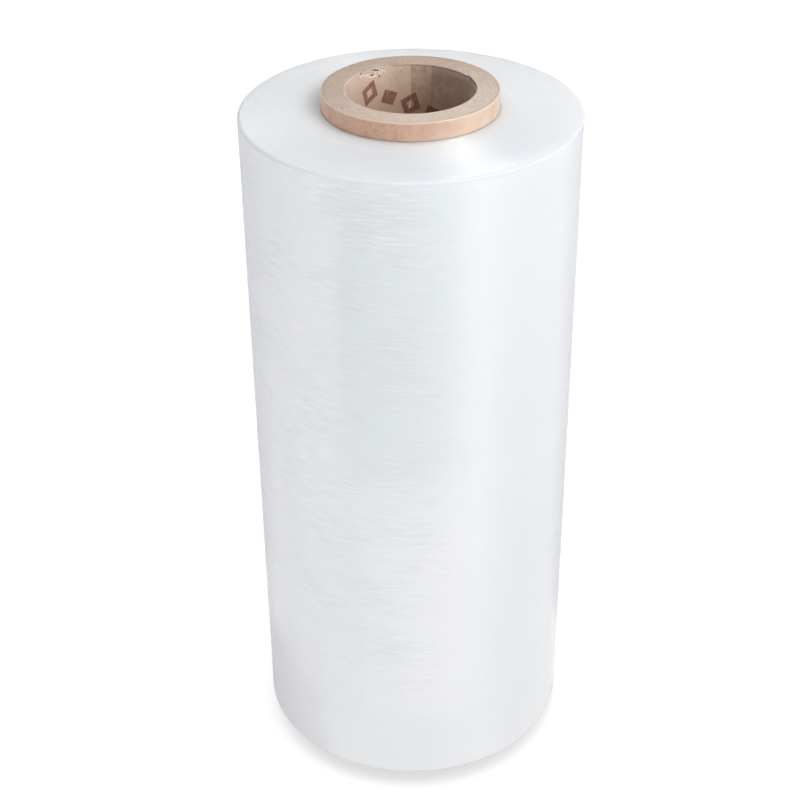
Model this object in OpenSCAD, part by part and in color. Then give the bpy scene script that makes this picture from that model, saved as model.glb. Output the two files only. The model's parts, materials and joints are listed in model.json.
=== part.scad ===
// Roll of clear stretch film on a paperboard core.
// The roll stands on one end of its core. Millimetres, +Z along the axis,
// origin at the centre of the core's lower end, -Y is the front.

/* [Core] */
// Inside diameter of the core
core_bore_d = 76.2; // [60:0.1:90]
// Wall thickness of the core
core_wall = 14.2; // [12:0.1:20]
// How far the core stands out of the film at each end
core_overhang = 10.9; // [6:0.1:40]
// Size of the small bevel on the core's edges
core_bevel = 0.5; // [0.2:0.1:0.8]
// Number of paper plies that can be told apart on the core's ends
core_plies = 7; // [3:1:9]
// Width of the groove between two plies
ply_groove_w = 0.5; // [0.2:0.1:0.8]
// Depth of the groove between two plies
ply_groove_depth = 0.25; // [0.1:0.05:0.5]

/* [Damage at the upper rim of the core] */
// Angle from +X at which the nick in the inner edge starts
nick_start = 23; // [0:1:60]
// Angle that the nick spans
nick_span = 14; // [6:1:30]
// How far the nick reaches into the wall
nick_depth = 1.2; // [0.4:0.1:3]
// How far the nick reaches down the bore
nick_height = 2.2; // [1:0.1:6]
// Angle from +X at which the torn patch starts
tear_start = 116; // [95:1:150]
// Angle that the torn patch spans
tear_span = 24; // [10:1:40]
// How far the torn patch reaches into the wall
tear_depth = 0.7; // [0.3:0.1:2]
// How far the torn patch reaches down the bore
tear_height = 5; // [2:0.1:10]

/* [Film] */
// Depth of film wound on the core
film_build = 49.1; // [20:0.1:90]
// Width of the film, which is the roll's length at its outer rim
film_width = 434; // [200:1:600]
// How much each end of the roll rises from its outer rim to the core
film_dome = 2.5; // [0:0.1:6]
// Radius of the rounded outer rim
film_rim_r = 2; // [0.5:0.1:5]

/* [Turns of the film] */
// Rings that the edges of the turns form on each end
turn_rings = 6; // [4:1:16]
// Greatest depth between two rings
turn_depth = 0.35; // [0.1:0.05:0.8]
// Bands along the outer wall where the turns lie thicker or thinner
wall_bands = 12; // [8:1:40]
// Greatest depth of a band
band_depth = 0.3; // [0.1:0.05:0.8]

/* [Hidden] */
$fn = 72;
// Extra reach of a cutting shape past the face that it cuts
cut_over = 1;
core_bore_r = core_bore_d / 2;
core_outer_r = core_bore_r + core_wall;
film_outer_r = core_outer_r + film_build;
// Heights: film at the core, film at its outer rim, top of the core
film_foot = core_overhang;
film_rim_low = film_foot + film_dome;
film_rim_high = film_rim_low + film_width;
core_length = film_rim_high + film_dome + core_overhang;
ply_pitch = core_wall / core_plies;
// The rings lie between the core and the start of the rounded rim
ring_zone = film_build - film_rim_r;
ring_points = 2 * turn_rings;
// The bands lie between the two rounded rims
band_zone = film_width - 2 * film_rim_r;
rim_steps = 3;

// Depth factors between 0 and 1 that keep rings and bands from looking alike
function ring_share(i) = 0.6 + 0.4 * sin(i * 77);
function band_share(j) = 0.5 + 0.25 * sin(j * 137) + 0.25 * sin(j * 61);

// How far the film's end stands above its outer rim at ring point i
function end_rise(i) = film_dome * (1 - pow(i / ring_points, 2))
    - (i % 2 == 1 ? turn_depth * ring_share(i) : 0);

// Points of one end of the film, from the core outward, as radius and rise
end_points = [for (i = [0:ring_points])
    [core_outer_r + ring_zone * i / ring_points, end_rise(i)]];

// Points of one rounded rim, from the end to the wall, as radius and rise
rim_points = [for (k = [1:rim_steps]) let (a = 90 * k / rim_steps)
    [film_outer_r - film_rim_r * (1 - sin(a)), -film_rim_r * (1 - cos(a))]];

// Points of the wall between the two rims, from low to high
wall_points = [for (j = [1:wall_bands - 1])
    [film_outer_r - band_depth * band_share(j),
        film_rim_low + film_rim_r + band_zone * j / wall_bands]];

// The same rise counted downward from the low rim or upward from the high rim
function at_low(points) = [for (p = points) [p[0], film_rim_low - p[1]]];
function at_high(points) = [for (p = points) [p[0], film_rim_high + p[1]]];
function backward(points) = [for (i = [len(points) - 1:-1:0]) points[i]];

// Points of one end of the core, from the bore outward, as radius and depth
core_end_points = concat(
    [[core_bore_r, core_bevel], [core_bore_r + core_bevel, 0]],
    [for (k = [1:core_plies - 1]) let (r = core_bore_r + k * ply_pitch) each [
        [r - ply_groove_w / 2, 0],
        [r, ply_groove_depth],
        [r + ply_groove_w / 2, 0]]],
    [[core_outer_r - core_bevel, 0], [core_outer_r, core_bevel]]);

// Bite out of the bore's wall at the upper end
module rim_bite(start, span, depth, height) {
    rotate([0, 0, start])
        rotate_extrude(angle = span)
            translate([core_bore_r - cut_over, core_length - height])
                square([depth + cut_over, height + cut_over]);
}

// Paperboard tube with bevelled edges, ply rings on its ends and a worn upper edge
module core() {
    color("#d2b497")
        difference() {
            rotate_extrude()
                polygon(concat(
                    core_end_points,
                    backward([for (p = core_end_points) [p[0], core_length - p[1]]])));
            rim_bite(nick_start, nick_span, nick_depth, nick_height);
            rim_bite(tear_start, tear_span, tear_depth, tear_height);
        }
}

// All turns of the film as one solid, seated on the core
module film() {
    color("#e6eaec")
        rotate_extrude()
            polygon(concat(
                at_low(end_points),
                at_low(rim_points),
                wall_points,
                backward(at_high(rim_points)),
                backward(at_high(end_points))));
}

core();
film();
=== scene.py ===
"""A roll of clear stretch film on a paperboard core, standing on a white floor.

Everything is in metres in the frame of the solid model: +Z along the roll, -Y to the front.
Angles round the roll count from +X towards +Y.
"""

import json
import math

import bpy
import numpy as np
from mathutils import Matrix, Vector


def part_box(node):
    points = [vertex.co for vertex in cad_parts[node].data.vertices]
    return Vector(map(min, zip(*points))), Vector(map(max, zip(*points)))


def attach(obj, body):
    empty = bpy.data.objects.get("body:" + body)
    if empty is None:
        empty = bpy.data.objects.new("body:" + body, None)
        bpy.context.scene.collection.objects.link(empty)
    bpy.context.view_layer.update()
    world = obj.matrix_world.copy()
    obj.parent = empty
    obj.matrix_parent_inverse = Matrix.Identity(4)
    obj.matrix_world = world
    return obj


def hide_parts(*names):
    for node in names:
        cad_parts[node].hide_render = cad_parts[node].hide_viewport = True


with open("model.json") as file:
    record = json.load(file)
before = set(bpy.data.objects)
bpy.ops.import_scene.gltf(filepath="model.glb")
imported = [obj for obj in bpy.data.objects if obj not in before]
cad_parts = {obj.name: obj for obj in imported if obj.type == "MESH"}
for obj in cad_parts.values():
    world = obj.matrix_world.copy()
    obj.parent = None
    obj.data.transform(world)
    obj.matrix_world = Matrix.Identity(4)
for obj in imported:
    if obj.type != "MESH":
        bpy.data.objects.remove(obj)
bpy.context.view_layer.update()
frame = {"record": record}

MM = 0.001
TAU = 2 * math.pi
WHITE = (1, 1, 1, 1)

# Sizes that the solid model gives
core_low, core_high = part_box("core")
film_low, film_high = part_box("film")
CORE_TOP = core_high.z
CORE_R = (core_high.x - core_low.x) / 2
FILM_R = (film_high.x - film_low.x) / 2
FILM_LOW = film_low.z
FILM_HIGH = film_high.z
BORE_R = next(m["dims"]["r_mm"] for m in frame["record"]["mounts"] if m["name"] == "core_bore") * MM
CORE_WALL = CORE_R - BORE_R

# Sizes that the part's source gives as well
FILM_DOME = 2.5 * MM
FILM_RIM_R = 2.0 * MM
CORE_BEVEL = 0.5 * MM

# Distance between two plies, of the 14 that show as fine arcs on the core's ends
PLY_PITCH = CORE_WALL / 14


# Camera, from the outlines of the roll in the photograph

PHOTO_PX = 800
SENSOR_MM = 36.0
FOCAL_PX = 1657.2
CAMERA_PLACE = Vector((0.0, -0.9092, 0.8228))
CAMERA_DOWN = 0.5651
CAMERA_YAW = -0.0086
CAMERA_ROLL = -0.0098


def make_camera():
    """Camera at the photograph's viewpoint."""
    forward = Vector((
        math.sin(CAMERA_YAW) * math.cos(CAMERA_DOWN),
        math.cos(CAMERA_YAW) * math.cos(CAMERA_DOWN),
        -math.sin(CAMERA_DOWN),
    ))
    level_right = forward.cross(Vector((0, 0, 1))).normalized()
    level_up = level_right.cross(forward)
    right = level_right * math.cos(CAMERA_ROLL) + level_up * math.sin(CAMERA_ROLL)
    up = level_up * math.cos(CAMERA_ROLL) - level_right * math.sin(CAMERA_ROLL)
    data = bpy.data.cameras.new("camera")
    data.sensor_width = SENSOR_MM
    data.lens = FOCAL_PX / PHOTO_PX * SENSOR_MM
    data.clip_start = 0.01
    data.clip_end = 50
    camera = bpy.data.objects.new("camera", data)
    turn = Matrix((right, up, -forward)).transposed()
    camera.matrix_world = Matrix.Translation(CAMERA_PLACE) @ turn.to_4x4()
    bpy.context.scene.collection.objects.link(camera)
    bpy.context.scene.camera = camera


# Node trees

class Graph:
    """Short calls for building one material's or the world's node tree."""

    def __init__(self, owner):
        owner.use_nodes = True
        self.tree = owner.node_tree
        self.tree.nodes.clear()

    def node(self, kind, inputs=None, **settings):
        """Adds a node. inputs maps a socket's name or number to a value or to another node's output."""
        made = self.tree.nodes.new(kind)
        for name, value in settings.items():
            setattr(made, name, value)
        for name, value in (inputs or {}).items():
            self.give(made.inputs[name], value)
        return made

    def give(self, socket, value):
        if isinstance(value, bpy.types.NodeSocket):
            self.tree.links.new(value, socket)
        else:
            socket.default_value = value

    def math(self, operation, a, b=0.0):
        return self.node("ShaderNodeMath", {0: a, 1: b}, operation=operation).outputs[0]

    def plus(self, a, b):
        return self.math("ADD", a, b)

    def minus(self, a, b):
        return self.math("SUBTRACT", a, b)

    def times(self, a, b):
        return self.math("MULTIPLY", a, b)

    def over(self, a, b):
        return self.math("DIVIDE", a, b)

    def unsigned(self, a):
        return self.math("ABSOLUTE", a)

    def remap(self, value, from_low, from_high, to_low=0.0, to_high=1.0):
        """value moved from one range to the other and kept inside it."""
        inputs = {
            "Value": value,
            "From Min": from_low,
            "From Max": from_high,
            "To Min": to_low,
            "To Max": to_high,
        }
        return self.node("ShaderNodeMapRange", inputs).outputs[0]

    def mix(self, factor, a, b):
        """Colour a where factor is 0 and b where it is 1."""
        made = self.node("ShaderNodeMix", data_type="RGBA")
        self.give(made.inputs[0], factor)
        self.give(made.inputs[6], a)
        self.give(made.inputs[7], b)
        return made.outputs[2]

    def mottle(self, noise, tones):
        """The two tones in patches that follow noise."""
        return self.mix(self.remap(noise, 0.35, 0.65), *tones)

    def noise(self, vector, scale=1.0, detail=2.0, rough=0.5):
        made = self.node(
            "ShaderNodeTexNoise",
            {"Vector": vector, "Scale": scale, "Detail": detail, "Roughness": rough},
        )
        return made.outputs["Fac"]

    def vector(self, x, y, z):
        return self.node("ShaderNodeCombineXYZ", {0: x, 1: y, 2: z}).outputs[0]

    def bump(self, height, distance, normal=None):
        inputs = {"Height": height, "Distance": distance, "Strength": 1.0}
        if normal is not None:
            inputs["Normal"] = normal
        return self.node("ShaderNodeBump", inputs).outputs[0]

    def place(self):
        """x, y, z, distance from the axis and angle round it, in metres and radians."""
        point = self.node("ShaderNodeTexCoord").outputs["Object"]
        parts = self.node("ShaderNodeSeparateXYZ", {0: point}).outputs
        x, y, z = parts[0], parts[1], parts[2]
        out = self.math("SQRT", self.plus(self.times(x, x), self.times(y, y)))
        turn = self.math("ARCTAN2", y, x)
        return x, y, z, out, turn

    def drawn_out(self, x, y, across, along_mm, across_mm, detail):
        """Noise drawn out round the axis to about along_mm, and about across_mm the other way."""
        around = 1 / (along_mm * MM)
        other = 1 / (across_mm * MM)
        point = self.vector(self.times(x, around), self.times(y, around), self.times(across, other))
        return self.noise(point, 1.0, detail)

    def facing(self, turn, degrees):
        """1 on the side at that angle, falling to -1 on the far side."""
        return self.math("COSINE", self.minus(turn, math.radians(degrees)))

    def tangent(self):
        """Direction round the axis, along which the turns of the film are smooth."""
        return self.node("ShaderNodeTangent", direction_type="RADIAL", axis="Z").outputs[0]

    def attribute(self, name):
        return self.node("ShaderNodeAttribute", attribute_name=name).outputs["Fac"]

    def finish(self, shader):
        self.node("ShaderNodeOutputMaterial", {"Surface": shader.outputs[0]})

    def surface(self, inputs):
        """The material's one principled surface."""
        self.finish(self.node("ShaderNodeBsdfPrincipled", inputs))


def new_material(name):
    material = bpy.data.materials.new(name)
    return material, Graph(material)


# Film materials

# A side is an angle in degrees. Its reach gives the cosines of the angle from it at which a blend starts
# and at which it is complete.

# Outer turns: wide mottling, patches of stronger wrinkles, the wrinkles and fine threads, each with its
# length round the roll and its size along it in millimetres, then its detail
WALL_CLOUDS = (150, 45, 2.0)
WALL_PATCHES = (45, 28, 1.0)
WALL_WRINKLES = (12, 1.55, 0.0)
WALL_THREADS = (60, 0.8, 0.0)
WRINKLE_DEPTH = 0.34 * MM
THREAD_DEPTH = 0.006 * MM
WALL_TONES = ((0.822, 0.832, 0.856, 1), (0.846, 0.852, 0.872, 1))
# Painted shade in the grooves of the wrinkles
WRINKLE_SHADE_TONE = (0.772, 0.782, 0.806, 1)

# Where the wrinkles are faint: between the patches, on the lowest part and on one side
FAINT_SHARE = 0.3
FAINT_HEIGHTS = (50 * MM, 150 * MM)
SMOOTH_SIDE = -45
SMOOTH_REACH = (0.92, 0.62)
SMOOTH_SHARE = 0.12

# Painted reflection: cool band down from the upper rim, the bluish tint of the surroundings that the film
# mirrors there
COOL_REFLECTION_SIDE = -96
COOL_REFLECTION_REACH = (0.91, 0.955)
COOL_REFLECTION_HEIGHTS = (240 * MM, 275 * MM)
COOL_REFLECTION_SHARE = 0.55
COOL_REFLECTION_TONE = (0.765, 0.83, 0.865, 1)

# Painted light: pale band below it, with the heights between which it ends above and below
PAINTED_LIGHT_SIDE = -84
PAINTED_LIGHT_REACH = (0.90, 1.0)
PAINTED_LIGHT_UPPER = (270 * MM, 210 * MM)
PAINTED_LIGHT_LOWER = (45 * MM, 85 * MM)
PAINTED_LIGHT_SHARE = 0.9
PAINTED_LIGHT_TONE = (0.885, 0.89, 0.905, 1)

# Painted shade: darker band to the right of both, where the lamps' highlight falls
PAINTED_SHADE_SIDE = -53
PAINTED_SHADE_REACH = (0.93, 1.0)
PAINTED_SHADE_SHARE = 0.7
PAINTED_SHADE_TONE = (0.78, 0.79, 0.815, 1)


def film_wall_material():
    """Outer turns: milky body under clear gloss, with short wrinkles that run round the roll. Bands of
    painted reflection, painted light and painted shade lie on the front, and painted shade in the wrinkles.
    """
    material, g = new_material("film_wall")
    x, y, z, _, turn = g.place()
    clouds = g.drawn_out(x, y, z, *WALL_CLOUDS)
    patches = g.drawn_out(x, y, z, *WALL_PATCHES)
    dashes = g.drawn_out(x, y, z, *WALL_WRINKLES)
    threads = g.drawn_out(x, y, z, *WALL_THREADS)
    colour = g.mottle(clouds, WALL_TONES)
    # Painted reflection: cool tint high on the front of the wall
    cool_reflection = g.times(g.remap(z, *COOL_REFLECTION_HEIGHTS), g.remap(g.facing(turn, COOL_REFLECTION_SIDE), *COOL_REFLECTION_REACH))
    colour = g.mix(g.times(cool_reflection, COOL_REFLECTION_SHARE), colour, COOL_REFLECTION_TONE)
    # Painted light: pale band low on the front of the wall
    pale = g.times(g.remap(z, *PAINTED_LIGHT_UPPER), g.remap(z, *PAINTED_LIGHT_LOWER))
    pale = g.times(pale, g.remap(g.facing(turn, PAINTED_LIGHT_SIDE), *PAINTED_LIGHT_REACH, 0.0, PAINTED_LIGHT_SHARE))
    colour = g.mix(pale, colour, PAINTED_LIGHT_TONE)
    # Painted shade: darker band under the lamps' highlight
    painted_shade = g.remap(g.facing(turn, PAINTED_SHADE_SIDE), *PAINTED_SHADE_REACH, 0.0, PAINTED_SHADE_SHARE)
    colour = g.mix(painted_shade, colour, PAINTED_SHADE_TONE)
    strength = g.times(
        g.remap(patches, 0.35, 0.65, FAINT_SHARE, 1.0),
        g.remap(z, *FAINT_HEIGHTS, FAINT_SHARE, 1.0),
    )
    smooth = g.remap(g.facing(turn, SMOOTH_SIDE), *SMOOTH_REACH, SMOOTH_SHARE, 1.0)
    strength = g.times(strength, smooth)
    # Painted shade: the wrinkles' grooves are darker
    colour = g.mix(g.times(g.remap(dashes, 0.75, 0.25), strength), colour, WRINKLE_SHADE_TONE)
    depth = g.times(g.minus(dashes, 0.5), strength)
    normal = g.bump(depth, WRINKLE_DEPTH)
    normal = g.bump(threads, THREAD_DEPTH, normal)
    g.surface({
        "Base Color": colour,
        "Roughness": 0.32,
        "IOR": 1.5,
        "Specular IOR Level": 0.8,
        "Subsurface Weight": 0.35,
        "Subsurface Radius": (1.0, 1.0, 1.0),
        "Subsurface Scale": 0.012,
        "Anisotropic": 1.0,
        "Anisotropic Rotation": 0.25,
        "Tangent": g.tangent(),
        "Coat Weight": 0.8,
        "Coat Roughness": 0.17,
        "Coat IOR": 1.6,
        "Coat Normal": normal,
        "Normal": normal,
    })
    return material


# Stacked edges: wide mottling and rings, each with its length round the roll and its size across in
# millimetres, then its detail, and the rings' depth
STACK_CLOUDS = (150, 9, 2.0)
STACK_RINGS = (120, 1.1, 2.0)
STACK_RING_DEPTH = 0.02 * MM

# Pitch and depth of the fine grooves between the edges, the share of the depth that the matt body shows,
# and how far the edges lean outward
GROOVE_PITCH = 0.25 * MM
GROOVE_DEPTH = 0.3 * MM
GROOVE_BODY_SHARE = 0.12
EDGE_LEAN = 0.3

# Tones of the front and of the back of the end, where the back is lighter with painted light
STACK_TONES = ((0.745, 0.773, 0.806, 1), (0.76, 0.788, 0.82, 1))
STACK_LIT_BACK_TONE = (0.858, 0.885, 0.914, 1)
STACK_LIT_BACK_SIDE = 105
STACK_LIT_BACK_REACH = (-0.4, 1.0)

# Painted light: pale ring next to the core on the front, which lifts the core's shadow there
STACK_INNER_LIGHT_TONE = (0.875, 0.892, 0.915, 1)
STACK_INNER_SIDE = -98
STACK_INNER_REACH = (0.1, 0.85)
STACK_INNER_SHARE = 0.95
STACK_INNER_WIDTH = 18 * MM

# Painted shade: darker part under the brightest sheen
STACK_SHEEN_SHADE_TONE = (0.70, 0.728, 0.765, 1)
STACK_SHEEN_SIDE = -70
STACK_SHEEN_REACH = (0.85, 0.98)
STACK_SHEEN_RADII = (CORE_R + 20 * MM, FILM_R - 12 * MM)


def film_end_material():
    """Stacked edges of the turns: milky, with a sheen that spreads across the rings, painted light at the
    back and next to the core, and painted shade under the sheen.
    """
    material, g = new_material("film_end")
    x, y, z, out, turn = g.place()
    across = g.plus(out, z)
    clouds = g.drawn_out(x, y, across, *STACK_CLOUDS)
    rings = g.drawn_out(x, y, across, *STACK_RINGS)
    # Painted light: the back of the end is lighter
    lit_back = g.remap(g.facing(turn, STACK_LIT_BACK_SIDE), *STACK_LIT_BACK_REACH)
    colour = g.mix(lit_back, g.mottle(clouds, STACK_TONES), STACK_LIT_BACK_TONE)
    # Painted light: paler next to the core on the front
    inner = g.times(
        g.remap(out, CORE_R + STACK_INNER_WIDTH, CORE_R),
        g.remap(g.facing(turn, STACK_INNER_SIDE), *STACK_INNER_REACH, 0.0, STACK_INNER_SHARE),
    )
    colour = g.mix(inner, colour, STACK_INNER_LIGHT_TONE)
    # Painted shade under the brightest sheen
    under_sheen = g.times(
        g.remap(out, *STACK_SHEEN_RADII),
        g.remap(g.facing(turn, STACK_SHEEN_SIDE), *STACK_SHEEN_REACH),
    )
    colour = g.mix(under_sheen, colour, STACK_SHEEN_SHADE_TONE)
    normal = g.bump(rings, STACK_RING_DEPTH)
    edges = g.noise(g.vector(g.times(across, 1 / GROOVE_PITCH), 0.0, 0.0), 1.0, 1.0)
    normal = g.bump(edges, GROOVE_BODY_SHARE * GROOVE_DEPTH, normal)
    lean = g.bump(g.times(out, -EDGE_LEAN), 1.0)
    groove = g.bump(edges, GROOVE_DEPTH, lean)
    g.surface({
        "Base Color": colour,
        "Roughness": 0.5,
        "IOR": 1.5,
        "Specular IOR Level": 0.2,
        "Subsurface Weight": 0.8,
        "Subsurface Radius": (1.0, 1.0, 1.0),
        "Subsurface Scale": 0.02,
        "Anisotropic": 1.0,
        "Anisotropic Rotation": 0.25,
        "Tangent": g.tangent(),
        "Coat Weight": 0.6,
        "Coat Roughness": 0.075,
        "Coat IOR": 1.55,
        "Coat Normal": groove,
        "Normal": normal,
    })
    return material


def film_rim_material():
    """Rounded outer rim, where light soaks in and little shines, darker with painted shade that offsets the
    light its slope catches.
    """
    material, g = new_material("film_rim")
    g.surface({
        # Painted shade: the rim's colour is darker than the end and the wall
        "Base Color": (0.715, 0.74, 0.775, 1),
        "Roughness": 0.6,
        "Specular IOR Level": 0.25,
        "Subsurface Weight": 0.6,
        "Subsurface Radius": (1.0, 1.0, 1.0),
        "Subsurface Scale": 0.015,
    })
    return material


# Board materials

TORN_COLOUR = (0.87, 0.76, 0.64, 1)
# Colour of the speck and of painted shade in the holes, the nick, the missing strip and under the rim
SPECK_AND_SHADE_COLOUR = (0.10, 0.055, 0.035, 1)
INK_COLOUR = (0.33, 0.105, 0.055, 1)
# Painted shade: the ink's colour deep down the bore
INK_DEPTH_SHADE_COLOUR = (0.14, 0.05, 0.03, 1)

# Row of printed marks that runs down the bore at a slant: open diamonds and solid squares in turn
INK_MIDDLE = math.radians(100)
INK_DOWN = 23.0 * MM
INK_SLANT = math.radians(22)
INK_PITCH_MM = 14.3
INK_MARKS = (-1.5, -0.5, 0.5, 1.5)
DIAMOND_WIDE_MM = 6.7
DIAMOND_HIGH_MM = 8.8
SQUARE_MM = 4.4
# Soft edges of the marks and of the diamonds' open middles, as shares of a mark's size
DIAMOND_MIDDLE = (0.34, 0.40)
DIAMOND_EDGE = (1.0, 0.94)
SQUARE_EDGE = (1.0, 0.9)
# How strong the ink is where it is whole and where it is worn
INK_STRENGTH = (1.0, 0.6)

# Lap of the innermost ply, between its two straight seams
LAP_START = math.radians(70.1)
LAP_END = math.radians(90.3)
LAP_BLEND = 0.008
# Each seam's place, half width in radians and tone
SEAMS = ((LAP_END, 0.012, (0.86, 0.70, 0.55, 1)), (LAP_START, 0.008, (0.17, 0.11, 0.08, 1)))
SEAM_SHARE = 0.65

# Tones of the bore by side, lit and shaded copies of the board with painted light and painted shade, the
# lap's its own ply with painted shade too: two that mottle it and one with painted shade deep down or one
# in its scuffs
BORE_LIT_TONES = ((0.76, 0.575, 0.46, 1), (0.84, 0.66, 0.54, 1))
BORE_LIT_DEPTH_SHADE = (0.50, 0.35, 0.26, 1)
BORE_LAP_TONES = ((0.53, 0.385, 0.30, 1), (0.69, 0.515, 0.42, 1))
BORE_LAP_DEPTH_SHADE = (0.34, 0.235, 0.17, 1)
BORE_SHADED_TONES = ((0.37, 0.262, 0.20, 1), (0.50, 0.385, 0.305, 1))
BORE_SHADED_SCUFF = (0.29, 0.19, 0.14, 1)
BORE_RIGHT_TONES = ((0.57, 0.46, 0.375, 1), (0.65, 0.525, 0.435, 1))
BORE_GRAIN_TONE = (0.40, 0.27, 0.19, 1)

# Where the bore's painted shade deep down sets in, and where its far side takes up half of the lap's tone
# near the rim as painted light
DEPTH_SHADE_HEIGHTS = (CORE_TOP - 2 * MM, CORE_TOP - 26 * MM)
RIM_HEIGHTS = (CORE_TOP - 9 * MM, CORE_TOP - 3 * MM)
RIM_SHARE = 0.5
# Painted light: the far side takes up the right tones on the right, and the lit tones on the near side
RIGHT_SIDE = -10
RIGHT_REACH = (0.35, 0.85)
NEAR_SIDE = -150
NEAR_REACH = (-0.62, -0.35)

# Scales of the noises, per metre, and the depth of the bore's grain
BLOTCH_SCALE = 90
GRAIN_SCALE = 800
SCUFF_SCALE = 300
BORE_GRAIN_DEPTH = 0.16 * MM


def with_wear_and_shade(g, colour):
    """colour with the cream of torn paper over it, and the dark of the speck and of painted shade in the
    holes, the nick, the missing strip and the line under the rim.
    """
    colour = g.mix(g.attribute("torn"), colour, TORN_COLOUR)
    return g.mix(g.attribute("speck_and_shade"), colour, SPECK_AND_SHADE_COLOUR)


def ink_marks(g, turn, z):
    """1 on the printed marks in the bore, 0 beside them."""
    round_bore = g.times(g.minus(INK_MIDDLE, turn), BORE_R / MM)
    down_bore = g.times(g.minus(CORE_TOP - INK_DOWN, z), 1 / MM)
    cosine, sine = math.cos(INK_SLANT), math.sin(INK_SLANT)
    along = g.plus(g.times(round_bore, cosine), g.times(down_bore, sine))
    across = g.minus(g.times(down_bore, cosine), g.times(round_bore, sine))
    high = g.unsigned(across)
    marks = 0.0
    for number, place in enumerate(INK_MARKS):
        wide = g.unsigned(g.minus(along, place * INK_PITCH_MM))
        if number % 2:
            size = g.over(g.math("MAXIMUM", wide, high), SQUARE_MM)
            mark = g.remap(size, *SQUARE_EDGE)
        else:
            size = g.plus(g.over(wide, DIAMOND_WIDE_MM), g.over(high, DIAMOND_HIGH_MM))
            mark = g.times(g.remap(size, *DIAMOND_MIDDLE), g.remap(size, *DIAMOND_EDGE))
        marks = g.math("MAXIMUM", marks, mark)
    return marks


def bore_material():
    """Wall of the bore: plain brown board, mottled, with a lap seam and worn ink marks, lit and shaded by
    side and darker deep down with painted light and painted shade.
    """
    material, g = new_material("board_bore")
    x, y, z, _, turn = g.place()
    point = g.vector(x, y, z)
    blotch = g.noise(point, BLOTCH_SCALE, 3.0, 0.55)
    grain = g.noise(point, GRAIN_SCALE, 2.0, 0.6)
    slanted = g.vector(x, g.plus(y, g.times(z, 0.9)), g.times(z, 0.35))
    scuffs = g.noise(slanted, SCUFF_SCALE, 2.0)
    # Painted shade that grows down the bore
    depth_shade = g.remap(z, *DEPTH_SHADE_HEIGHTS)
    # Painted light on the lit side of the bore
    pale = g.mix(depth_shade, g.mottle(blotch, BORE_LIT_TONES), BORE_LIT_DEPTH_SHADE)
    lap = g.mix(depth_shade, g.mottle(scuffs, BORE_LAP_TONES), BORE_LAP_DEPTH_SHADE)
    # Painted shade: the far side of the bore is a shaded copy of the board
    far = g.mottle(blotch, BORE_SHADED_TONES)
    far = g.mix(g.remap(scuffs, 0.5, 0.66, 0.0, 0.45), far, BORE_SHADED_SCUFF)
    right = g.mottle(blotch, BORE_RIGHT_TONES)
    far = g.mix(g.remap(g.facing(turn, RIGHT_SIDE), *RIGHT_REACH), far, right)
    far = g.mix(g.times(g.remap(z, *RIM_HEIGHTS), RIM_SHARE), far, lap)
    near = g.times(g.remap(g.facing(turn, NEAR_SIDE), *NEAR_REACH), g.math("LESS_THAN", turn, 0.0))
    far = g.mix(near, far, pale)
    colour = g.mix(g.remap(turn, LAP_END, LAP_END - LAP_BLEND), pale, lap)
    colour = g.mix(g.remap(turn, LAP_START, LAP_START - LAP_BLEND), colour, far)
    colour = g.mix(g.remap(grain, 0.45, 0.75, 0.0, 0.3), colour, BORE_GRAIN_TONE)
    for seam, half, tone in SEAMS:
        away = g.unsigned(g.minus(turn, seam))
        colour = g.mix(g.remap(away, half, half * 0.5, 0.0, SEAM_SHARE), colour, tone)
    streaks = g.noise(g.vector(g.times(turn, 44), 0.0, g.times(z, 120)), 2.0, 3.0)
    worn = g.remap(streaks, 0.35, 0.65, *INK_STRENGTH)
    # Painted shade: the ink darkens deep down the bore
    ink = g.mix(depth_shade, INK_COLOUR, INK_DEPTH_SHADE_COLOUR)
    colour = g.mix(g.times(ink_marks(g, turn, z), worn), colour, ink)
    g.surface({
        "Base Color": with_wear_and_shade(g, colour),
        "Roughness": 0.85,
        "Specular IOR Level": 0.25,
        "Normal": g.bump(grain, BORE_GRAIN_DEPTH),
    })
    return material


# Cut ends: fibres and arcs with their length round the core and size across in millimetres, then their
# detail, and specks and patches by their scale per metre
CUT_FIBRES = (5, 0.45, 3.0)
CUT_ARCS = (24, 1.0, 2.0)
CUT_SPECK_SCALE = 1100
CUT_PATCH_SCALE = 130
CUT_FIBRE_DEPTH = 0.18 * MM
CUT_SPECK_DEPTH = 0.14 * MM
# Painted light on the front right of the cut ends and painted shade towards the back
CUT_LIT_TONES = ((0.69, 0.57, 0.48, 1), (0.755, 0.635, 0.55, 1))
CUT_SHADED_TONES = ((0.51, 0.395, 0.313, 1), (0.57, 0.456, 0.374, 1))
CUT_LIT_SIDE = -60
CUT_LIT_REACH = (-0.5, 0.8)
CUT_FIBRE_TONE = (0.44, 0.325, 0.255, 1)
CUT_SPECK_TONE = (0.80, 0.70, 0.61, 1)
CUT_GAP_TONE = (0.33, 0.225, 0.165, 1)

# The gaps between plies grow stronger over this range of radii
CUT_GAP_RADII = (CORE_R - 8 * MM, CORE_R - 2 * MM)
CUT_GAP_SHARES = (0.15, 0.75)

# Place, half width and tone of the gap under the outermost ply
OUTER_GAP_R = CORE_R - 1.5 * MM
OUTER_GAP_HALF = 0.3 * MM
OUTER_GAP_TONE = (0.30, 0.20, 0.145, 1)


def ply_lines(g, out, turn):
    """Height of the spiral of plies on a cut end: 0 in the gap between two plies, 1 on a ply."""
    count = g.minus(g.over(g.minus(out, BORE_R), PLY_PITCH), g.over(turn, TAU))
    share = g.unsigned(g.minus(g.math("FRACT", count), 0.5))
    return g.remap(share, 0.5, 0.30)


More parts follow.
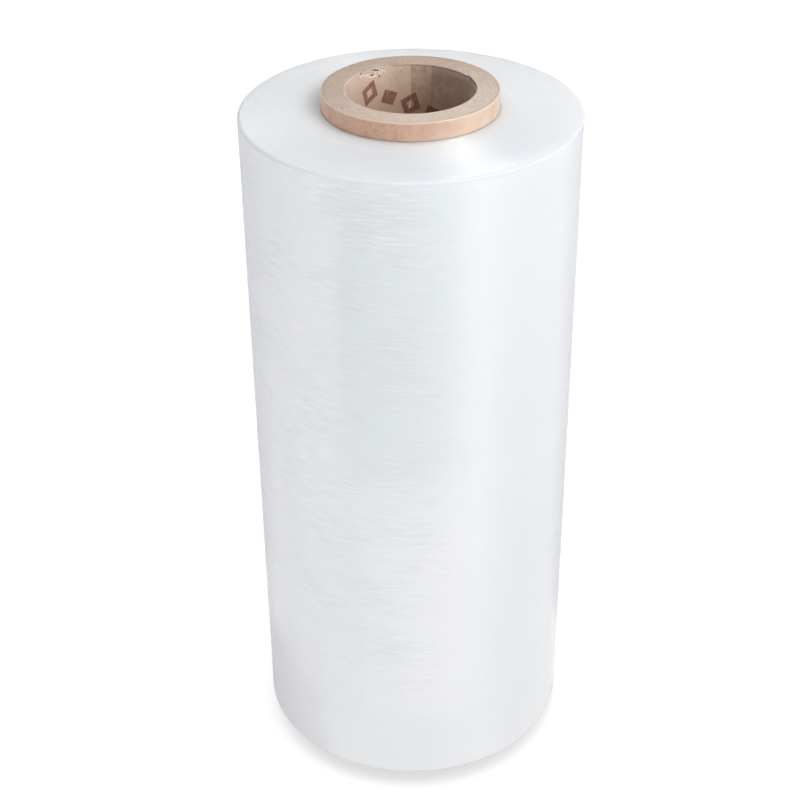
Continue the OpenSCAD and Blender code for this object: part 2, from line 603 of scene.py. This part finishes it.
def end_material():
    """Cut ends of the board: grey beige fibres, with the plies showing as fine arcs, lighter on the front
    right with painted light and darker at the back with painted shade.
    """
    material, g = new_material("board_end")
    x, y, z, out, turn = g.place()
    point = g.vector(x, y, z)
    fibres = g.drawn_out(x, y, out, *CUT_FIBRES)
    arcs = g.drawn_out(x, y, out, *CUT_ARCS)
    specks = g.noise(point, CUT_SPECK_SCALE, 2.0, 0.65)
    patches = g.remap(g.noise(point, CUT_PATCH_SCALE, 3.0, 0.6), 0.3, 0.7)
    lit_side = g.mix(patches, *CUT_LIT_TONES)
    painted_shade = g.mix(patches, *CUT_SHADED_TONES)
    # Painted light and painted shade by side
    colour = g.mix(g.remap(g.facing(turn, CUT_LIT_SIDE), *CUT_LIT_REACH), painted_shade, lit_side)
    colour = g.mix(g.remap(fibres, 0.42, 0.68, 0.0, 0.55), colour, CUT_FIBRE_TONE)
    colour = g.mix(g.remap(specks, 0.55, 0.72, 0.0, 0.7), colour, CUT_SPECK_TONE)
    outward = g.remap(out, *CUT_GAP_RADII, *CUT_GAP_SHARES)
    gap = g.times(g.minus(1.0, ply_lines(g, out, turn)), g.times(outward, g.remap(arcs, 0.40, 0.62)))
    colour = g.mix(gap, colour, CUT_GAP_TONE)
    away = g.unsigned(g.minus(out, OUTER_GAP_R))
    line = g.remap(away, OUTER_GAP_HALF, 0.3 * OUTER_GAP_HALF)
    line = g.times(line, g.remap(arcs, 0.35, 0.6, 0.55, 0.1))
    colour = g.mix(line, colour, OUTER_GAP_TONE)
    normal = g.bump(fibres, CUT_FIBRE_DEPTH)
    normal = g.bump(specks, CUT_SPECK_DEPTH, normal)
    g.surface({
        "Base Color": with_wear_and_shade(g, colour),
        "Roughness": 0.9,
        "Specular IOR Level": 0.2,
        "Normal": normal,
    })
    return material


# Outer ply: scale of its clouds per metre, its tones, and the worn edge with the depths where it ends
CLOUD_SCALE = 110
KRAFT_GRAIN_DEPTH = 0.06 * MM
KRAFT_DEEP_TONES = ((0.49, 0.285, 0.19, 1), (0.565, 0.36, 0.265, 1))
KRAFT_PALE_TONES = ((0.705, 0.50, 0.37, 1), (0.755, 0.59, 0.47, 1))
KRAFT_DEEP_SIDE = -118
KRAFT_DEEP_REACH = (0.45, 0.98)
KRAFT_GRAIN_TONE = (0.74, 0.58, 0.46, 1)
WORN_EDGE_DEPTHS = (1.1 * MM, 0.5 * MM)
WORN_EDGE_SHARE = 0.6
WORN_EDGE_TONE = (0.76, 0.63, 0.52, 1)


def outside_material():
    """Outer ply: smooth kraft, deeper on one side, with a light worn edge at each end."""
    material, g = new_material("board_outside")
    x, y, z, _, turn = g.place()
    point = g.vector(x, y, z)
    cloud = g.noise(point, CLOUD_SCALE, 3.0, 0.6)
    grain = g.noise(point, GRAIN_SCALE, 2.0, 0.65)
    deep = g.mottle(cloud, KRAFT_DEEP_TONES)
    pale = g.mottle(cloud, KRAFT_PALE_TONES)
    colour = g.mix(g.remap(g.facing(turn, KRAFT_DEEP_SIDE), *KRAFT_DEEP_REACH), pale, deep)
    colour = g.mix(g.remap(grain, 0.45, 0.75, 0.0, 0.4), colour, KRAFT_GRAIN_TONE)
    upper_edge = g.remap(z, *(CORE_TOP - depth for depth in WORN_EDGE_DEPTHS))
    edge = g.math("MAXIMUM", upper_edge, g.remap(z, *WORN_EDGE_DEPTHS))
    colour = g.mix(g.times(edge, WORN_EDGE_SHARE), colour, WORN_EDGE_TONE)
    g.surface({
        "Base Color": with_wear_and_shade(g, colour),
        "Roughness": 0.62,
        "Specular IOR Level": 0.4,
        "Normal": g.bump(grain, KRAFT_GRAIN_DEPTH),
    })
    return material


# Meshes that wrap round the axis

def ring_mesh(name, points, zones, materials):
    """Closed mesh over a grid of points, rows by segments, that wraps round in both directions.

    zones gives each row the number of the material between it and the next row.
    """
    rows, segments, _ = points.shape
    index = np.arange(rows * segments).reshape(rows, segments)
    beside = np.roll(index, -1, axis=1)
    quads = np.stack([index, beside, np.roll(beside, -1, axis=0), np.roll(index, -1, axis=0)], -1)
    mesh = bpy.data.meshes.new(name)
    mesh.from_pydata(points.reshape(-1, 3).tolist(), [], quads.reshape(-1, 4).tolist())
    for material in materials:
        mesh.materials.append(material)
    mesh.polygons.foreach_set("material_index", np.repeat(np.array(zones, dtype=np.int32), segments))
    mesh.shade_smooth()
    piece = bpy.data.objects.new(name, mesh)
    bpy.context.scene.collection.objects.link(piece)
    return piece


def turned(radii, heights, angles):
    """Grid of points from radii and heights, each rows by segments."""
    return np.stack([radii * np.cos(angles), radii * np.sin(angles), heights], -1)


def soft_waves(rng, along, angles, count, turns, wave):
    """Smooth random field, mostly between -1 and 1, over rows along and columns angles.

    It turns over at most turns times round the axis, and no faster than once in wave along the rows.
    """
    field = np.zeros((len(along), len(angles)))
    for _ in range(count):
        times = rng.integers(-turns, turns + 1)
        rate = rng.uniform(-1, 1) * TAU / wave
        phase = rng.uniform(0, TAU)
        field += np.cos(times * angles[None, :] + rate * along[:, None] + phase)
    return field / math.sqrt(count)


def smooth_step(values, start, end):
    """0 before start, 1 past end and smooth between."""
    share = np.clip((values - start) / (end - start), 0, 1)
    return share * share * (3 - 2 * share)


def turn_away(angles, middle):
    """Signed angle from middle, between minus and plus half a turn."""
    return (angles - middle + math.pi) % TAU - math.pi


# Film

FILM_SEGMENTS = 144
WALL_ROWS = 585
END_ROWS = 44
RIM_ROWS = 5
FILM_END, FILM_WALL, FILM_RIM = 0, 1, 2

# Rings on the ends: mean depth, swing, shortest wave, and the share of the way out over which they set in
RING_DEPTH = 0.1 * MM
RING_SWING = 0.025 * MM
RING_WAVE = 3.5 * MM
RING_START = 1 / 12

# Bands on the wall: mean depth, swing and shortest wave
BAND_DEPTH = 0.16 * MM
BAND_SWING = 0.04 * MM
BAND_WAVE = 30 * MM

# Short and long wrinkles: how many, then the ranges of their length, thickness and depth in millimetres
SHORT_WRINKLES = (900, (14, 70), (0.9, 1.6), (0.01, 0.045))
LONG_WRINKLES = (60, (60, 160), (1.2, 2.4), (0.03, 0.06))
WRINKLE_LEAN = 0.03


def wrinkles(rng, heights, angles, count, long_mm, thick_mm, depth_mm):
    """Depth in metres of wrinkles that run round the wall, over rows of heights and angles."""
    field = np.zeros((len(heights), len(angles)))
    span = heights[-1] - heights[0]
    for _ in range(count):
        middle = heights[0] + span * rng.beta(2.2, 1.6)
        start = rng.uniform(0, TAU)
        half = rng.uniform(*long_mm) * MM / 2 / FILM_R
        thick = rng.uniform(*thick_mm) * MM
        depth = rng.uniform(*depth_mm) * MM * rng.choice([-1, 1])
        lean = rng.normal(0, WRINKLE_LEAN)
        away = turn_away(angles, start)
        near = np.abs(away) < half
        along = np.cos(away[near] / half * math.pi / 2) ** 2
        rows = np.abs(heights - middle) < 4 * thick
        drop = heights[rows][:, None] - middle - lean * FILM_R * away[near][None, :]
        field[np.ix_(rows, near)] += depth * along[None, :] * np.exp(-((drop / thick) ** 2))
    return field


def make_film():
    """The wound film as one closed mesh with rings on its ends and wrinkles on its wall."""
    rng = np.random.default_rng(11)
    angles = np.arange(FILM_SEGMENTS) / FILM_SEGMENTS * TAU
    flat = np.ones((1, FILM_SEGMENTS))
    rim_low = FILM_LOW + FILM_DOME
    rim_high = FILM_HIGH - FILM_DOME

    # Ends, from the core outward
    shares = np.linspace(0, 1, END_ROWS)
    end_r = CORE_R + (FILM_R - FILM_RIM_R - CORE_R) * shares
    dome = FILM_DOME * (1 - shares ** 2)[:, None]
    fade = np.sin(np.clip(shares / RING_START, 0, 1) * math.pi / 2)[:, None]
    lower_sink, upper_sink = [
        (RING_DEPTH - RING_SWING * soft_waves(rng, end_r, angles, 30, 1, RING_WAVE)) * fade
        for _ in range(2)
    ]

    # Rounded rims, from the end to the wall
    bend = np.linspace(0, math.pi / 2, RIM_ROWS + 2)[1:-1]
    rim_r = FILM_R - FILM_RIM_R * (1 - np.sin(bend))
    rim_drop = FILM_RIM_R * (1 - np.cos(bend))

    # Wall, from low to high
    wall_z = np.linspace(rim_low + FILM_RIM_R, rim_high - FILM_RIM_R, WALL_ROWS)
    depth = BAND_DEPTH + BAND_SWING * soft_waves(rng, wall_z, angles, 30, 1, BAND_WAVE)
    depth += wrinkles(rng, wall_z, angles, *SHORT_WRINKLES)
    depth += wrinkles(rng, wall_z, angles, *LONG_WRINKLES)
    wall_r = FILM_R - np.clip(depth, 0, None)

    radii = np.concatenate([
        end_r[:, None] * flat,
        rim_r[:, None] * flat,
        wall_r,
        rim_r[::-1, None] * flat,
        end_r[::-1, None] * flat,
    ])
    heights = np.concatenate([
        rim_low - dome + lower_sink,
        (rim_low + rim_drop)[:, None] * flat,
        wall_z[:, None] * flat,
        (rim_high - rim_drop)[::-1, None] * flat,
        (rim_high + dome - upper_sink)[::-1],
    ])
    heights = np.clip(heights, FILM_LOW, FILM_HIGH)
    rim_zone = [FILM_RIM] * (RIM_ROWS + 1)
    end_zone = [FILM_END] * (END_ROWS - 1)
    zones = end_zone + rim_zone + [FILM_WALL] * (WALL_ROWS - 1) + rim_zone + end_zone + [FILM_WALL]
    materials = (film_end_material(), film_wall_material(), film_rim_material())
    piece = ring_mesh("film_roll", turned(radii, heights, angles[None, :]), zones, materials)
    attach(piece, "root")
    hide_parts("film")


# Core

CORE_SEGMENTS = 400
BOARD_BORE, BOARD_END, BOARD_OUTSIDE = 0, 1, 2

# Half width and depth of the gaps between plies, shallow inside and deeper near the outer rim, and the
# depth of the fibres
PLY_GAP_HALF = 0.22 * MM
PLY_GAP_DEPTH = 0.04 * MM
PLY_GAP_EXTRA = 0.12 * MM
FIBRE_DEPTH = 0.05 * MM

# How far the lap of the inner ply stands proud of the rest of the bore
LAP_RISE = 0.12 * MM

# Torn patch at the upper rim of the bore
TEAR_MIDDLE = math.radians(127)
TEAR_HALF = math.radians(15)
TEAR_DEPTH = 0.5 * MM
TEAR_RIM_DROP = 0.35 * MM
HOLE_DEPTH = 0.9 * MM
# Least and greatest depth of the patch, where fibres stand up and where a hole goes in
TEAR_LIMITS = (-0.25 * MM, 1.6 * MM)
# Spots where the face of the ply is torn off, and holes darkened with painted shade: angle in degrees,
# then depth below the top, half width, half height and the drop to the right over the width in millimetres
TEAR_SPOTS = (
    (118.6, 2.5, 3.9, 2.8, 0.0),
    (124.5, 4.7, 4.0, 1.4, 0.0),
    (131.5, 3.3, 4.6, 1.4, 0.0),
    (137.8, 2.0, 2.6, 1.2, 0.0),
)
TEAR_HOLES = (
    (123.0, 1.8, 2.3, 0.45, 1.3),
    (126.6, 4.4, 1.3, 0.5, 0.4),
    (140.2, 1.0, 0.6, 0.8, 0.0),
    (119.0, 6.0, 0.6, 0.4, 0.0),
)

# Nick in the same rim, and the strip of the inner ply that is gone beside it
NICK_MIDDLE = math.radians(27)
NICK_HALF = math.radians(3.4)
NICK_DEPTH = 0.75 * MM
NICK_DOWN = 2.0 * MM
NICK_RIM_DROP = 0.8 * MM
STRIP_START = math.radians(-12)
STRIP_DEPTH = 0.5 * MM
STRIP_DOWN = 3.4 * MM
STRIP_BLEND = 0.4 * MM

# Side on which the upper rim of the bore is worn pale, how far in from the edge the wear lies both ways,
# and how far it reaches from there
WORN_MIDDLE = math.radians(-155)
WORN_HALF = math.radians(75)
WORN_INSET = 0.2 * MM
WORN_REACH = 0.5 * MM

# Shaded line under the rim on the other side, with the angles between which it sets in and ends
RIM_LINE_DOWN = 0.8 * MM
RIM_LINE_HALF = 0.45 * MM
RIM_LINE_START = (TAU - 0.35, TAU - 0.1)
RIM_LINE_END = (1.85, 2.0)

# Speck on the upper end
SPECK_TURN = math.radians(-142.6)
SPECK_OUT = 49.0 * MM
SPECK_HALF = 0.7 * MM
SPECK_DEPTH = 0.3 * MM


def core_angles():
    """Angles of the core's segments, closer together at the torn patch and the nick."""
    even = np.linspace(0, TAU, 3601)
    dense = np.ones(len(even))
    dense += 2.0 * (np.abs(turn_away(even, TEAR_MIDDLE)) < TEAR_HALF * 1.3)
    dense += 2.0 * (np.abs(turn_away(even, NICK_MIDDLE)) < NICK_HALF * 2)
    total = np.concatenate([[0], np.cumsum(dense)[:-1]])
    total /= total[-1]
    return np.interp(np.arange(CORE_SEGMENTS) / CORE_SEGMENTS, total, even)


def core_profile():
    """Rows of the core as radius, height and material, up the bore and down the outside."""
    bevel = np.linspace(0, math.pi / 2, 4)
    curve = CORE_BEVEL * (1 - np.cos(bevel))
    rise = CORE_BEVEL * np.sin(bevel)
    low, high = CORE_BEVEL, CORE_TOP - CORE_BEVEL
    inner, outer = BORE_R + CORE_BEVEL, CORE_R - CORE_BEVEL
    # The bore's rows lie close together above middle and closest above fine
    middle, fine = CORE_TOP - 45 * MM, CORE_TOP - 9 * MM

    def bore_rows(start, end, count):
        return [(BORE_R, z, BOARD_BORE) for z in np.linspace(start, end, count)]

    def outside_rows(start, end, count):
        return [(CORE_R, z, BOARD_OUTSIDE) for z in np.linspace(start, end, count)]

    def end_rows(z, start, end, count):
        return [(r, z, BOARD_END) for r in np.linspace(start, end, count)]

    rows = bore_rows(low, middle, 30)[1:-1]
    rows += bore_rows(middle, fine, 37)[:-1]
    rows += bore_rows(fine, high, 25)[:-1]
    rows += [(BORE_R + c, high + s, BOARD_END) for c, s in zip(curve, rise)]
    rows += end_rows(CORE_TOP, inner, outer, 45)[1:-1]
    rows += [(CORE_R - c, high + s, BOARD_OUTSIDE) for c, s in zip(curve[::-1], rise[::-1])]
    rows += outside_rows(high, FILM_HIGH, 14)[1:]
    rows += outside_rows(FILM_HIGH, FILM_LOW, 9)[1:-1]
    rows += outside_rows(FILM_LOW, low, 9)[:-1]
    rows += [(CORE_R - c, low - s, BOARD_OUTSIDE) for c, s in zip(curve, rise)]
    rows += end_rows(0.0, outer, inner, 31)[1:-1]
    rows += [(BORE_R + c, low - s, BOARD_END) for c, s in zip(curve[::-1], rise[::-1])]
    return np.array([row[:2] for row in rows]), [row[2] for row in rows]


def ply_relief(rng, path, profile, angles):
    """How deep the spiral gaps between plies and the fibres sink into the cut ends."""
    count = (profile[:, :1] - BORE_R) / PLY_PITCH - angles[None, :] / TAU
    gap = np.exp(-(((count + 0.5) % 1 - 0.5) * PLY_PITCH / PLY_GAP_HALF) ** 2)
    strength = 0.55 + 0.45 * soft_waves(rng, path, angles, 40, 6, 5 * MM)
    outward = smooth_step(profile[:, 0], CORE_R - 7 * MM, CORE_R - 1 * MM)[:, None]
    sink = gap * np.clip(strength, 0.1, 1) * (PLY_GAP_DEPTH + PLY_GAP_EXTRA * outward)
    fibres = soft_waves(rng, path, angles, 120, 90, 2.0 * MM)
    return sink + FIBRE_DEPTH * np.clip(fibres + 0.6, 0, None)


def ragged_spots(spots, angles, drop, ragged, start, end):
    """1 on the spots, 0 beside them. They fade from start to end, as shares of their size."""
    field = np.zeros_like(ragged)
    for degrees, under, half_wide, half_high, slope in spots:
        across = turn_away(angles, math.radians(degrees))[None, :] * BORE_R / (half_wide * MM)
        below = drop - (under - slope * across / 2) * MM
        size = np.hypot(across, below / (half_high * MM)) + ragged
        field = np.maximum(field, 1 - smooth_step(size, start, end))
    return field


def make_core():
    """The paperboard core as one closed mesh, worn at the upper rim of its bore."""
    rng = np.random.default_rng(5)
    angles = core_angles()
    profile, zones = core_profile()
    flat = np.ones((1, CORE_SEGMENTS))
    radii = profile[:, :1] * flat
    heights = profile[:, 1:] * flat
    down = CORE_TOP - profile[:, 1]
    path = np.concatenate([[0], np.cumsum(np.hypot(*np.diff(profile, axis=0).T))])

    # Which rows lie on the bore's wall and on the two ends
    bore = (profile[:, 0] < BORE_R + CORE_BEVEL + MM) & (profile[:, 1] > 0)
    in_wall = (profile[:, 0] > BORE_R) & (profile[:, 0] < CORE_R)
    upper_end = (down <= CORE_BEVEL) & in_wall
    lower_end = (profile[:, 1] <= CORE_BEVEL) & in_wall
    near_bore = profile[:, 0] < BORE_R + CORE_BEVEL

    # Gaps between the plies, and fibres, on the two ends
    sink = ply_relief(rng, path, profile, angles)
    heights[upper_end] -= sink[upper_end]
    heights[lower_end] += sink[lower_end]

    # Lap of the inner ply stands a little proud of the rest of the bore
    in_lap = smooth_step(angles, LAP_START - LAP_BLEND, LAP_START)
    in_lap *= 1 - smooth_step(angles, LAP_END, LAP_END + LAP_BLEND)
    above_foot = smooth_step(profile[bore, 1], 2 * MM, 4 * MM)
    radii[bore] += LAP_RISE * (1 - in_lap)[None, :] * above_foot[:, None]

    # Torn patch: ragged spots of sunk fibres with a few holes, which are darkened with painted shade
    ragged = soft_waves(rng, path, angles, 160, 150, 1.6 * MM)
    inward = (profile[:, 0] - BORE_R)[:, None]
    drop = down[:, None] - inward * (inward > 0)
    tear = ragged_spots(TEAR_SPOTS, angles, drop, 0.30 * ragged, 0.75, 1.05)
    tear *= (bore | upper_end)[:, None] * (1 - smooth_step(inward, 1.2 * MM, 2.0 * MM))
    holes = ragged_spots(TEAR_HOLES, angles, drop, 0.15 * ragged, 0.7, 1.1)
    holes *= bore[:, None]
    tear_depth = tear * TEAR_DEPTH * (0.5 + 0.5 * ragged) + holes * HOLE_DEPTH
    radii += np.clip(tear_depth, *TEAR_LIMITS)
    heights[upper_end] -= np.clip(tear * TEAR_RIM_DROP * (0.8 + 0.6 * ragged), 0, None)[upper_end]

    # Nick, and the missing strip of the inner ply that runs out from it
    nick_turn = turn_away(angles, NICK_MIDDLE)[None, :] / NICK_HALF
    nick = np.exp(-(nick_turn ** 4)) * (1 - smooth_step(down, 0.5 * NICK_DOWN, NICK_DOWN))[:, None]
    nick *= (1 - smooth_step(inward, NICK_DEPTH, NICK_DEPTH * 1.6)) * (bore | upper_end)[:, None]
    strip_share = np.clip(turn_away(angles, STRIP_START) / (NICK_MIDDLE - STRIP_START), 0, 1)
    strip_on = (strip_share > 0) & (strip_share < 1)
    strip_down = STRIP_DOWN * np.sqrt(strip_share) * (1 + 0.12 * ragged[0])
    strip = strip_on[None, :] * (1 - smooth_step(down[:, None], strip_down - STRIP_BLEND, strip_down))
    strip *= (bore & near_bore)[:, None]
    radii += nick * NICK_DEPTH * (profile[:, 0] < BORE_R + NICK_DEPTH)[:, None] * (1 + 0.2 * ragged)
    heights[upper_end] -= (nick * NICK_RIM_DROP)[upper_end]
    radii += strip * STRIP_DEPTH * (1 - np.clip(inward / CORE_BEVEL, 0, 1))

    # Speck on the upper end
    speck_x = turn_away(angles, SPECK_TURN)[None, :] * SPECK_OUT
    speck_r = radii - SPECK_OUT
    speck = np.exp(-((speck_x / (1.6 * SPECK_HALF)) ** 2 + (speck_r / (0.6 * SPECK_HALF)) ** 2))
    speck *= upper_end[:, None]
    heights -= SPECK_DEPTH * speck

    heights = np.clip(heights, 0, CORE_TOP)
    materials = (bore_material(), end_material(), outside_material())
    piece = ring_mesh("core_tube", turned(radii, heights, angles[None, :]), zones, materials)
    piece.data.flip_normals()

    # How torn each point is, and how dark from the speck and from painted shade in the holes, the nick, the
    # missing strip and the line under the rim, for the materials
    worn_side = 1 - smooth_step(np.abs(turn_away(angles, WORN_MIDDLE)), 0.6 * WORN_HALF, WORN_HALF)
    from_rim = np.hypot(profile[:, 0] - BORE_R - WORN_INSET, down - WORN_INSET)
    rim = np.exp(-((from_rim / WORN_REACH) ** 2))[:, None]
    fuzz = rim * worn_side[None, :] * np.clip(0.55 + 0.5 * ragged, 0, 1)
    torn = np.clip(tear * (0.8 + 0.5 * ragged) + fuzz, 0, 1)
    under_rim = np.exp(-(((down - RIM_LINE_DOWN) / RIM_LINE_HALF) ** 2)) * near_bore
    line_side = smooth_step(angles, *RIM_LINE_START) + 1 - smooth_step(angles, *RIM_LINE_END)
    rim_line = (under_rim * bore)[:, None] * line_side[None, :] * np.clip(0.75 + 0.4 * ragged, 0, 1)
    # Painted shade in the holes, the nick, the missing strip and the line under the rim, with the speck's
    # own dark
    speck_and_shade = np.clip(holes * 1.3 + speck * 0.9 + nick * 0.35 + strip * 0.25 + 0.6 * rim_line, 0, 1)
    for name, values in (("torn", torn), ("speck_and_shade", speck_and_shade)):
        layer = piece.data.attributes.new(name, "FLOAT", "POINT")
        layer.data.foreach_set("value", values.astype(np.float32).ravel())
    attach(piece, "root")
    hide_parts("core")


# Floor, world and lights

def seen_ray(g):
    """1 for a ray from the camera or one that a shiny or clear surface sends out, else 0."""
    path = g.node("ShaderNodeLightPath").outputs
    bent = g.math("MAXIMUM", path["Is Glossy Ray"], path["Is Transmission Ray"])
    return g.math("MAXIMUM", path["Is Camera Ray"], bent)


def stage_sheet(name, corners, material):
    """Flat sheet that is not part of the roll."""
    mesh = bpy.data.meshes.new(name)
    mesh.from_pydata(corners, [], [tuple(range(len(corners)))])
    mesh.materials.append(material)
    sheet = bpy.data.objects.new(name, mesh)
    bpy.context.scene.collection.objects.link(sheet)
    return sheet


# The floor shows FLOOR_GLOW of white, with a painted contact shadow where the roll hides it, and adds
# FLOOR_SHARE of the light on it
FLOOR_HALF = 30
FLOOR_GLOW = 0.95
FLOOR_SHARE = 0.14
FLOOR_BOUNCE = 0.85
CONTACT_REACH = 60 * MM
CONTACT_SHADE = 0.70
CONTACT_OPEN = (0.28, 0.68)


def make_floor():
    """White floor with a painted contact shadow close under the roll, from ambient occlusion."""
    material, g = new_material("floor")
    open_share = g.node("ShaderNodeAmbientOcclusion", {"Distance": CONTACT_REACH}, samples=16).outputs["AO"]
    level = g.remap(open_share, *CONTACT_OPEN, CONTACT_SHADE * FLOOR_GLOW, FLOOR_GLOW)
    glow = g.node("ShaderNodeEmission", {"Color": WHITE, "Strength": level})
    shade = g.node("ShaderNodeBsdfDiffuse", {"Color": (FLOOR_SHARE, FLOOR_SHARE, FLOOR_SHARE, 1)})
    shown = g.node("ShaderNodeAddShader", {0: glow.outputs[0], 1: shade.outputs[0]})
    bounce = g.node("ShaderNodeBsdfDiffuse", {"Color": (FLOOR_BOUNCE, FLOOR_BOUNCE, FLOOR_BOUNCE, 1)})
    g.finish(g.node("ShaderNodeMixShader", {0: seen_ray(g), 1: bounce.outputs[0], 2: shown.outputs[0]}))
    half = FLOOR_HALF
    stage_sheet("floor", [(-half, -half, 0), (half, -half, 0), (half, half, 0), (-half, half, 0)], material)


# Corners and colours of the dark sheets on the floor that only shiny surfaces show. The slopes, x over the
# distance in y, are those between which the front one and the left one fade to white.
FLAG_RISE = 0.001
FRONT_FLAG = (
    (-1.0, -0.89), (-0.7, -1.15), (0.0, -1.3), (0.86, -1.23),
    (0.26, -0.48), (0.08, -0.42), (-0.12, -0.40), (-0.425, -0.395),
)
FRONT_COLOUR = (0.26, 0.36, 0.40, 1)
FRONT_FADE = (-0.60, 0.75)
LEFT_FLAG = ((0.0, 0.08), (0.0, 1.9), (-1.8, 1.9), (-1.8, 0.95), (-0.11, 0.02))
LEFT_COLOUR = (0.62, 0.63, 0.71, 1)
LEFT_FADE = (0.5, -4.0)
RIGHT_FLAG = ((0.0, 0.08), (0.20, 0.07), (2.6, 1.9), (0.0, 1.9))
RIGHT_COLOUR = (0.80, 0.82, 0.86, 1)
# Painted shadow: the foot sheet is a dark sheet round the roll's foot, which the film mirrors as the shade
# under its overhang
FOOT_FLAG = ((-0.08, 0.06), (-0.16, 0.07), (-0.18, 0.0), (-0.15, -0.09), (-0.07, -0.09), (-0.06, 0.0))
FOOT_SHADE_COLOUR = (0.62, 0.60, 0.66, 1)


def make_flag(name, corners, colour, fade=None):
    """Dark sheet that the film mirrors softly. With fade it pales as its slope rises."""
    material, g = new_material(name)
    shown = colour
    if fade:
        x, y, *_ = g.place()
        slope = g.over(x, g.unsigned(y))
        shown = g.mix(g.remap(slope, *fade), colour, WHITE)
    g.finish(g.node("ShaderNodeEmission", {"Color": shown}))
    flag = stage_sheet(name, [(*corner, FLAG_RISE) for corner in corners], material)
    flag.visible_camera = False
    flag.visible_diffuse = False
    flag.visible_transmission = False
    flag.visible_shadow = False


WORLD_LEVEL = 0.24


def make_world():
    """Even white surroundings: full white where they are seen, softer where they light the roll."""
    world = bpy.data.worlds.new("world")
    bpy.context.scene.world = world
    g = Graph(world)
    soft = g.node("ShaderNodeBackground", {"Color": WHITE, "Strength": WORLD_LEVEL})
    white = g.node("ShaderNodeBackground", {"Color": WHITE, "Strength": 1.0})
    both = g.node("ShaderNodeMixShader", {0: seen_ray(g), 1: soft.outputs[0], 2: white.outputs[0]})
    g.node("ShaderNodeOutputWorld", {"Surface": both.outputs[0]})


def soft_box(name, azimuth, elevation, distance, width, height, level, matt=True, shine=True):
    """Soft box that faces the roll. Where level is 1, a matt surface that faces it shows its own colour.

    azimuth counts from +X and elevation from the floor, both in degrees. matt says whether the box lights
    matt surfaces, shine whether shiny ones mirror it.
    """
    turn = math.radians(azimuth)
    lift = math.radians(elevation)
    toward = Vector((math.cos(turn) * math.cos(lift), math.sin(turn) * math.cos(lift), math.sin(lift)))
    data = bpy.data.lights.new(name, "AREA")
    data.shape = "RECTANGLE"
    data.size = width
    data.size_y = height
    data.energy = level * (math.pi * distance) ** 2
    light = bpy.data.objects.new(name, data)
    light.location = Vector((0, 0, CORE_TOP / 2)) + toward * distance
    light.rotation_mode = "QUATERNION"
    light.rotation_quaternion = (-toward).to_track_quat("-Z", "Y")
    light.visible_camera = False
    light.visible_diffuse = matt
    light.visible_glossy = shine
    bpy.context.scene.collection.objects.link(light)


def make_lights():
    """Soft boxes round the roll, and three far ones that show only as gloss."""
    soft_box("key_high", -42, 52, 1.6, 1.2, 0.9, 0.54)
    soft_box("key_wide", -20, 45, 1.6, 1.6, 1.0, 0.32)
    soft_box("low_left", -155, 7, 1.6, 1.2, 0.36, 0.20)
    soft_box("low_front", -115, 7, 1.6, 1.0, 0.36, 0.15)
    soft_box("back_left", 125, 40, 1.8, 1.2, 1.0, 0.14)
    soft_box("low_back", 95, 4, 1.8, 1.6, 0.5, 0.17, shine=False)
    soft_box("sheen_sharp", -21, 60, 5.0, 0.35, 0.4, 0.80, matt=False)
    soft_box("sheen_middle", 2, 60, 5.0, 2.2, 0.4, 0.42, matt=False)
    soft_box("sheen_wide", 16, 60, 5.0, 4.2, 0.4, 0.26, matt=False)


make_camera()
make_film()
make_core()
make_floor()
make_flag("flag_front", FRONT_FLAG, FRONT_COLOUR, FRONT_FADE)
make_flag("flag_left", LEFT_FLAG, LEFT_COLOUR, LEFT_FADE)
make_flag("flag_right", RIGHT_FLAG, RIGHT_COLOUR)
make_flag("flag_foot_shade", FOOT_FLAG, FOOT_SHADE_COLOUR)
make_world()
make_lights()
bpy.context.scene.view_settings.view_transform = "Standard"
